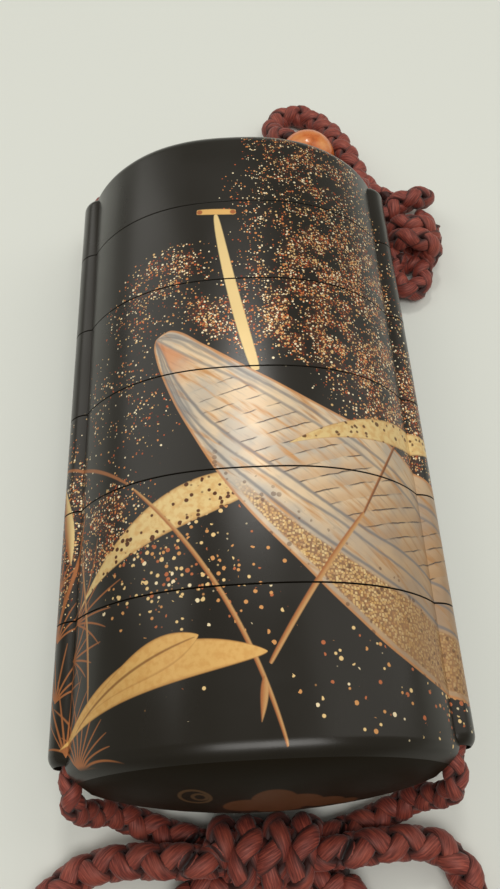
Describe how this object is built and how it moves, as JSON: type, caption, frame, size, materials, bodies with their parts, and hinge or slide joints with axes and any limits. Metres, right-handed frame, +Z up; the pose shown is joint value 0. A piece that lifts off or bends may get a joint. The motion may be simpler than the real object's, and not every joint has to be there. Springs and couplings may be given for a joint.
{
  "type": "inro case",
  "caption": "Flat stacked carrying case of black lacquer with a sprinkled gold picture, a lift-off lid and nested trays, lying on its back with a braided silk cord and a bead.",
  "frame": {"origin": "centre of the underside of the case as it lies on its back, where its small flat meets the table, without the cord", "axes": "+Z up through the pictured front, +Y along the case towards the lid, +X across to the right cord runner"},
  "size_m": [0.0671, 0.151, 0.0249],
  "materials": {
    "black_lacquer": "polished black-brown lacquer over wood, with gold and copper sprinkled pictures",
    "silk_cord": "dusty brick-red braided silk",
    "amber_bead": "polished orange bead"
  },
  "bodies": {
    "root": {"lid": "black_lacquer", "case_1": "black_lacquer", "case_2": "black_lacquer", "case_3": "black_lacquer", "case_4": "black_lacquer", "case_5": "black_lacquer", "cord_left": "silk_cord", "cord_right": "silk_cord", "cord_arch": "silk_cord", "bow_loop_left": "silk_cord", "bow_loop_right": "silk_cord", "bow_tail_left": "silk_cord", "bow_tail_right": "silk_cord", "bow_knot": "silk_cord", "end_knot": "silk_cord", "tail_knot_left": "silk_cord", "tail_knot_right": "silk_cord", "ojime_bead": "amber_bead"}
  },
  "joints": []
}
